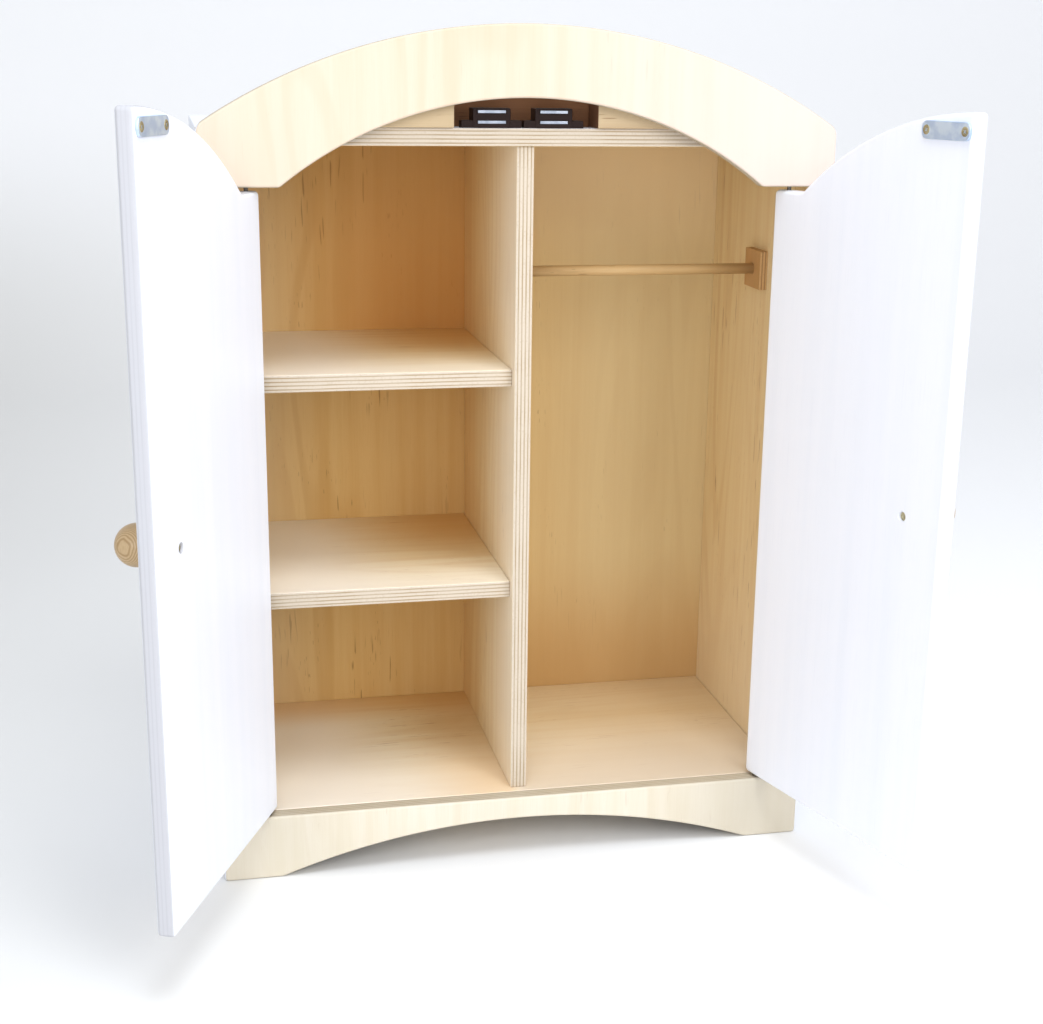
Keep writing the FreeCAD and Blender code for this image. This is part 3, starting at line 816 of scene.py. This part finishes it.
def build_shelves():
    # Painted light and shade: lighter along the front and to the left, amber shade in the back corner by the
    # divider.
    painted_shadings = [painted_shading(PAINTED_LIGHT_WASH, 0.6, (Y, SHELF_FRONT, SHELF_FRONT + 90)),
             painted_shading(PAINTED_LIGHT_WASH, 1.0, (X, -150, -60)),
             painted_shading(PAINTED_CORNER_SHADE, 0.8, (X, -20, -150), (Y, -40, -185))]
    for name, top in (("lower_shelf", LOWER_SHELF_TOP), ("upper_shelf", UPPER_SHELF_TOP)):
        height = (top - BOARD, top)
        shelf = box(name + "_board", (-INNER_SIDE, DIVIDER_LEFT), (SHELF_FRONT, BACK_INNER), height)
        material = board_material(name, X, Z, height[0], BIRCH_SHELF, top / 20, painted_shadings=painted_shadings)
        use(shelf, name, "carcass", material)


def build_crown_blocks():
    height = (TOP_PANEL_TOP, TOP_PANEL_TOP + CROWN_BLOCK_HEIGHT)
    depth = (CARCASS_FRONT, CARCASS_FRONT + CROWN_BLOCK_DEPTH)
    for name, side in SIDES.items():
        x_span = sorted((side * RECESS_END[name], side * CROWN_BLOCK_END))
        block = box(name + "_block", x_span, depth, height)
        use(block, name + "_crown_block", "carcass", block_material(name, side))
    depth = (CARCASS_FRONT + RECESS_DEPTH, CARCASS_FRONT + CROWN_BLOCK_DEPTH)
    x_span = (-RECESS_END["left"], RECESS_END["right"])
    backing = box("recess_back", x_span, depth, height, RECESS_EASED_EDGE)
    use(backing, "catch_recess_backing", "carcass", shaded_recess_material())


def build_rod():
    thickness, depth, height = ROD_BLOCK
    right = INNER_SIDE - thickness
    y_span, z_span = middled(ROD_Y, depth), middled(ROD_Z, height)
    for name, x in (("left", DIVIDER_RIGHT), ("right", right)):
        block = box(name + "_rod_holder", (x, x + thickness), y_span, z_span, ROD_BLOCK_EASED_EDGE)
        material = board_material(name + " rod block", Z, X, x, BIRCH_SHADED_HOLDER, 24.0, thickness, THIN_PLIES,
                                  edges=SHADED_HOLDER_EDGES)
        use(block, name + "_rod_block", "carcass", material)
    start = DIVIDER_RIGHT + thickness
    profile = [(ROD_RADIUS, 0.0), (ROD_RADIUS, right - start)]
    rod = turned("rod", profile, (start, ROD_Y, ROD_Z), (1, 0, 0))
    material = board_material("rod wood", X, Y, 0, ROD_WOOD, 27.0, plies=0)
    use(rod, "hanging_rod", "carcass", material)


def catch_housing(name, x):
    """A catch's body, with a slot round each pole plate, on its wider screw flange."""
    width, depth, height = CATCH_BODY
    y_span = (CATCH_FRONT, CATCH_FRONT + depth)
    z_span = (TOP_PANEL_TOP, TOP_PANEL_TOP + height)
    body = box("body", middled(x, width), y_span, z_span, CATCH_BODY_EASED_EDGE)
    side_room, slot_depth, room = POLE_SLOT_ROOM
    slots = []
    for lift in POLE_HEIGHTS:
        low = TOP_PANEL_TOP + lift
        y_span = (CATCH_FRONT - 2, CATCH_FRONT + slot_depth)
        x_span = (x - POLE[0] / 2 - side_room, x + POLE[0] / 2 + side_room)
        slots.append(box("slot", x_span, y_span, (low - room, low + POLE[2] + room), 0))
    finish_mesh(body)
    cut(body, slots)
    width, depth, height = CATCH_FLANGE
    y_span = (CATCH_FRONT + CATCH_FLANGE_SETBACK, CATCH_FRONT + depth)
    z_span = (TOP_PANEL_TOP, TOP_PANEL_TOP + height)
    flange = box("flange", middled(x, width), y_span, z_span, CATCH_FLANGE_EASED_EDGE)
    return even_shading(join(name + "_catch", [body, flange]))


def catch_poles(name, x):
    """The two steel strips that stand a little proud of a catch's front."""
    width, depth, thickness = POLE
    front = CATCH_FRONT - POLE_PROUD
    plates = []
    for lift in POLE_HEIGHTS:
        low = TOP_PANEL_TOP + lift
        z_span = (low, low + thickness)
        plates.append(box("plate", middled(x, width), (front, front + depth), z_span, POLE_EASED_EDGE))
    return join(name + "_poles", plates)


def build_catches():
    plastic = plastic_material()
    steel = metal_material("pole steel", srgb(196, 202, 214), srgb(170, 178, 192), X, 0.28)
    ferrite = magnet_material()
    screw_steel = metal_material("dark screws", srgb(120, 112, 108), srgb(96, 90, 88), X, 0.35)
    flange_top = TOP_PANEL_TOP + CATCH_FLANGE[2]
    screws = []
    for name, x in CATCH_X.items():
        use(catch_housing(name, x), name + "_catch_housing", "carcass", plastic)
        use(catch_poles(name, x), name + "_catch_pole_plates", "carcass", steel)
        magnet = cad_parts[name + "_catch_magnet"]
        magnet.data.materials.clear()
        magnet.data.materials.append(ferrite)
        for side in (-1, 1):
            place = (x + side * CATCH_SCREW_X, CATCH_FRONT + CATCH_FLANGE[1] / 2, flange_top)
            screws.append(cross_head("screw", CATCH_SCREW, place, DOWN))
    use(join("catch_fixings", screws), "catch_screws", "carcass", screw_steel)


def eased_profile(radius, length, rim):
    """A solid cylinder's lathe profile with both its ends eased."""
    low_end = [(0, 0), (radius - rim, 0), (radius, rim)]
    high_end = [(radius, length - rim), (radius - rim, length), (0, length)]
    return low_end + high_end


def both_pivots(name, profile, height):
    """The same turned piece on each door's pivot line."""
    return [turned(name, profile, (side * PIVOT_X, PIVOT_Y, height), UP, SMALL_STEPS) for side in (-1, 1)]


def build_pivots():
    steel = metal_material("pin steel", srgb(140, 134, 128), srgb(112, 106, 100), Z, 0.34)
    starts = {"upper": CROWN_BOTTOM + PIN_IN_BOARD - PIN_LENGTH, "lower": FLOOR_TOP - PIN_IN_BOARD}
    profile = eased_profile(PIN_RADIUS, PIN_LENGTH, PIN_EASED_END)
    for name, start in starts.items():
        pins = both_pivots("pin", profile, start)
        use(join(name + "_pins", pins), name + "_pivot_pins", "carcass", steel)
    profile = eased_profile(WASHER_RADIUS, WASHER_THICKNESS, WASHER_EASED_EDGE)
    profile[0] = (PIN_RADIUS, 0)
    profile[-1] = (PIN_RADIUS, WASHER_THICKNESS)
    washers = both_pivots("washer", profile, FLOOR_TOP)
    use(join("washers", washers), "lower_pivot_washers", "carcass", steel)


def build_back_screws():
    steel = metal_material("back screw steel", srgb(186, 180, 160), srgb(160, 152, 130), X, 0.32)
    edge_x = HALF_WIDTH - BOARD / 2
    board_middles = (FLOOR_TOP - BOARD / 2, TOP_PANEL_TOP - BOARD / 2)
    heads = [(side * edge_x, z) for side in (-1, 1) for z in BACK_SCREW_HEIGHTS]
    heads += [(side * BACK_SCREW_X, z) for side in (-1, 1) for z in board_middles]
    screws = [cross_head("screw", BACK_SCREW, (x, BACK_FACE, z), FORWARD) for x, z in heads]
    use(join("back_fixings", screws), "back_panel_screws", "carcass", steel)


# ---------------------------------------------------------------- doors
def door_outline(side):
    """A closed door: straight sides, an arched top, and a level shoulder at the hinge edge."""
    shoulder = math.sqrt(DOOR_ARC_RADIUS ** 2 - (DOOR_HINGE_TOP - CROWN_INNER_CENTRE) ** 2)
    rim = DOOR_CORNER_ROUND
    points = [(DOOR_MEETING_EDGE, DOOR_BOTTOM)]
    points += arc_between(CROWN_INNER_CENTRE, DOOR_ARC_RADIUS, DOOR_MEETING_EDGE, shoulder, 56)
    points += corner_arc((DOOR_OUTER_EDGE, DOOR_HINGE_TOP), (-1, 0), (0, -1), rim)
    points += corner_arc((DOOR_OUTER_EDGE, DOOR_BOTTOM), (0, 1), (-1, 0), rim)
    return [(side * x, z) for x, z in points]


def strike_outline(side):
    """A strike plate: a rectangle with well rounded corners."""
    length, height = STRIKE_SIZE
    rim = height * STRIKE_CORNER_SHARE
    left, right = middled(STRIKE_X, length)
    low, high = middled(STRIKE_Z, height)
    points = corner_arc((left, low), (0, 1), (1, 0), rim)
    points += corner_arc((right, low), (-1, 0), (0, 1), rim)
    points += corner_arc((right, high), (0, -1), (-1, 0), rim)
    points += corner_arc((left, high), (1, 0), (0, -1), rim)
    return [(side * x, z) for x, z in points]


def knob_profile():
    """Radius against distance out from the door: a ball on a short waisted neck."""
    rim = KNOB_LENGTH - KNOB_RADIUS
    neck_out = rim * KNOB_NECK_SHARE
    flare = KNOB_NECK + KNOB_NECK_FLARE
    profile = [(0.0, 0.0), (flare, 0.0)]
    neck_steps, swell_steps, dome_steps = 8, 16, 24
    for i in range(1, neck_steps + 1):
        turn = math.pi * i / neck_steps
        profile.append((KNOB_NECK + KNOB_NECK_FLARE * math.cos(turn) ** 2, neck_out * i / neck_steps))
    for i in range(1, swell_steps + 1):
        turn = math.pi / 2 * i / swell_steps
        swell = (KNOB_RADIUS - flare) * math.sin(turn)
        profile.append((flare + swell, neck_out + (rim - neck_out) * (1 - math.cos(turn))))
    for i in range(1, dome_steps):
        turn = math.pi / 2 * i / dome_steps
        profile.append((KNOB_RADIUS * math.cos(turn), rim + KNOB_RADIUS * math.sin(turn)))
    profile.append((0.0, KNOB_LENGTH))
    return profile


def swing(piece, side, angle):
    """Turn a closed-position piece to its open place about the door's pins."""
    pivot = Matrix.Translation(Vector((side * PIVOT_X, PIVOT_Y, 0)) * MM)
    piece.matrix_world = pivot @ Matrix.Rotation(math.radians(side * angle), 4, "Z") @ pivot.inverted()


def sink_cutter(place):
    """The knob screw's sunk hole in a door's inner face, flared at its mouth and coned at its bottom."""
    radius, flare, depth = KNOB_SINK_RADIUS, KNOB_SINK_FLARE, KNOB_SINK_DEPTH
    profile = [(0, -1), (radius + flare, -1), (radius + flare, 0), (radius, flare)]
    profile += [(radius, depth), (KNOB_SCREW_SHANK, depth + radius), (0, depth + radius)]
    return turned("sink", profile, place, FORWARD, 48)


def build_door(name, side, materials):
    wood, zinc, brass = materials
    paint = door_material(name, DOOR_EDGE_SHADE[name])
    panel = outline_board(name + "_leaf", door_outline(side), DOOR_FRONT, BOARD, DOOR_EASED_EDGE)
    finish_mesh(panel)
    place = (side * KNOB_X, DOOR_BACK, KNOB_Z)
    even_shading(cut(panel, [sink_cutter(place)]))
    knob = turned(name + "_knob_head", knob_profile(), (side * KNOB_X, DOOR_FRONT, KNOB_Z), FORWARD, 96)
    screw = cross_head(name + "_knob_fixing", KNOB_SCREW, place, FORWARD)
    outline = strike_outline(side)
    plate = outline_board(name + "_strike", outline, DOOR_BACK, STRIKE_THICKNESS, STRIKE_EASED_EDGE)
    screws = []
    for step in (-0.5, 0.5):
        x = side * (STRIKE_X + step * STRIKE_SCREW_SPACING)
        screws.append(cross_head("screw", STRIKE_SCREW, (x, DOOR_BACK + STRIKE_THICKNESS, STRIKE_Z), FORWARD))
    screws = join(name + "_strike_fixings", screws)
    for piece, part, slot, material in (
        (panel, "door_panel", "white_door", paint),
        (knob, "knob", "knob_wood", wood),
        (screw, "knob_screw", "brass_screw", brass),
        (plate, "strike_plate", "zinc_plate", zinc),
        (screws, "strike_screws", "brass_screw", brass),
    ):
        swing(piece, side, OPEN_ANGLE[name])
        use(piece, name + "_" + part, name + "_door", material)


def build_doors():
    zinc = metal_material("zinc plate", srgb(222, 238, 255), srgb(202, 221, 246), X, 0.42)
    brass = metal_material("yellow plated screws", srgb(206, 199, 168), srgb(172, 163, 132), X, 0.34)
    materials = (knob_material(), zinc, brass)
    for name, side in SIDES.items():
        build_door(name, side, materials)


# ---------------------------------------------------------------- setting
GROUND_NEAR = -3000
GROUND_FAR = 1600
GROUND_CURVE = 800
GROUND_HEIGHT = 4000
GROUND_SIDE = 4000
GROUND_STEPS = 12
WORLD_COLOUR = (0.97, 0.98, 1.0, 1.0)
WORLD_STRENGTH = 0.66
LAMP_TARGET = (0, -0.2, 0.3)
VIEW_GAMMA = 0.87
VIEW_EXPOSURE = 0.24


def build_setting():
    """A pale floor that curves up behind, greyer towards the left with painted shade and whiter higher up
    with painted light.
    """
    def fill(work):
        profile = [(GROUND_NEAR, 0), (GROUND_FAR, 0)]
        for i in range(1, GROUND_STEPS + 1):
            turn = math.pi / 2 * i / GROUND_STEPS
            back = GROUND_FAR + GROUND_CURVE * math.sin(turn)
            profile.append((back, GROUND_CURVE - GROUND_CURVE * math.cos(turn)))
        profile.append((GROUND_FAR + GROUND_CURVE, GROUND_HEIGHT))
        rows = [[work.verts.new((x, y, z)) for x in (-GROUND_SIDE, GROUND_SIDE)] for y, z in profile]
        for near, far in zip(rows, rows[1:]):
            work.faces.new((near[0], near[1], far[1], far[0]))
    ground = new_piece("ground", fill)
    shader = Shader("pale ground")
    across = shader.parts(shader.place)[0]
    # Painted shade: greyer towards the left.
    colour = shader.mix(shader.ramp(across, -1.0, 0.5), srgb(222, 222, 220), srgb(250, 251, 253))
    # Painted light: whiter higher up the curve.
    height = shader.parts(shader.place)[2]
    colour = shader.mix(shader.ramp(height, 0.0, 0.5), colour, srgb(252, 253, 255))
    ground.data.materials.append(shader.done(colour, 0.8))


def soft_lamp(name, place, size, power, colour=(1, 1, 1)):
    """A round soft lamp aimed at the wardrobe, in metres and watts."""
    light = bpy.data.lights.new(name, "AREA")
    light.shape = "DISK"
    light.size = size
    light.energy = power
    light.color = colour
    lamp = bpy.data.objects.new(name, light)
    bpy.context.scene.collection.objects.link(lamp)
    lamp.location = place
    direction = Vector(LAMP_TARGET) - Vector(place)
    lamp.rotation_euler = direction.to_track_quat("-Z", "Y").to_euler()


def build_lights():
    world = bpy.data.worlds.new("studio")
    bpy.context.scene.world = world
    world.use_nodes = True
    background = world.node_tree.nodes["Background"]
    background.inputs["Color"].default_value = WORLD_COLOUR
    background.inputs["Strength"].default_value = WORLD_STRENGTH
    soft_lamp("key", place=(0.85, -2.0, 1.3), size=1.2, power=14.0)
    soft_lamp("top", place=(0.0, -0.85, 1.9), size=0.8, power=9.0, colour=(0.93, 0.97, 1.0))
    soft_lamp("fill", place=(-0.9, -2.1, 0.9), size=1.6, power=11.0)


def build_camera():
    """The camera, turned by its yaw, pitch and roll from looking along +Y."""
    yaw, pitch, roll = (math.radians(angle) for angle in (CAMERA_YAW, CAMERA_PITCH, CAMERA_ROLL))
    forward = Vector((math.sin(yaw) * math.cos(pitch), math.cos(yaw) * math.cos(pitch), math.sin(pitch)))
    level = Vector((math.cos(yaw), -math.sin(yaw), 0))
    up = level.cross(forward)
    right = level * math.cos(roll) + up * math.sin(roll)
    up = right.cross(forward)
    data = bpy.data.cameras.new("camera")
    data.lens = CAMERA_LENS
    data.sensor_width = CAMERA_SENSOR
    data.sensor_fit = "HORIZONTAL"
    data.shift_x, data.shift_y = CAMERA_SHIFT
    data.clip_start = 0.05
    camera = bpy.data.objects.new("camera", data)
    bpy.context.scene.collection.objects.link(camera)
    rotation = Matrix((right, up, -forward)).transposed()
    camera.matrix_world = Matrix.Translation(CAMERA_PLACE) @ rotation.to_4x4()
    bpy.context.scene.camera = camera


build_crown()
build_plinth()
build_sides()
build_back()
build_floor()
build_top()
build_divider()
build_shelves()
build_crown_blocks()
build_rod()
build_catches()
build_pivots()
build_back_screws()
build_doors()
build_setting()
build_lights()
build_camera()
view = bpy.context.scene.view_settings
view.view_transform = "Standard"
view.gamma = VIEW_GAMMA
view.exposure = VIEW_EXPOSURE
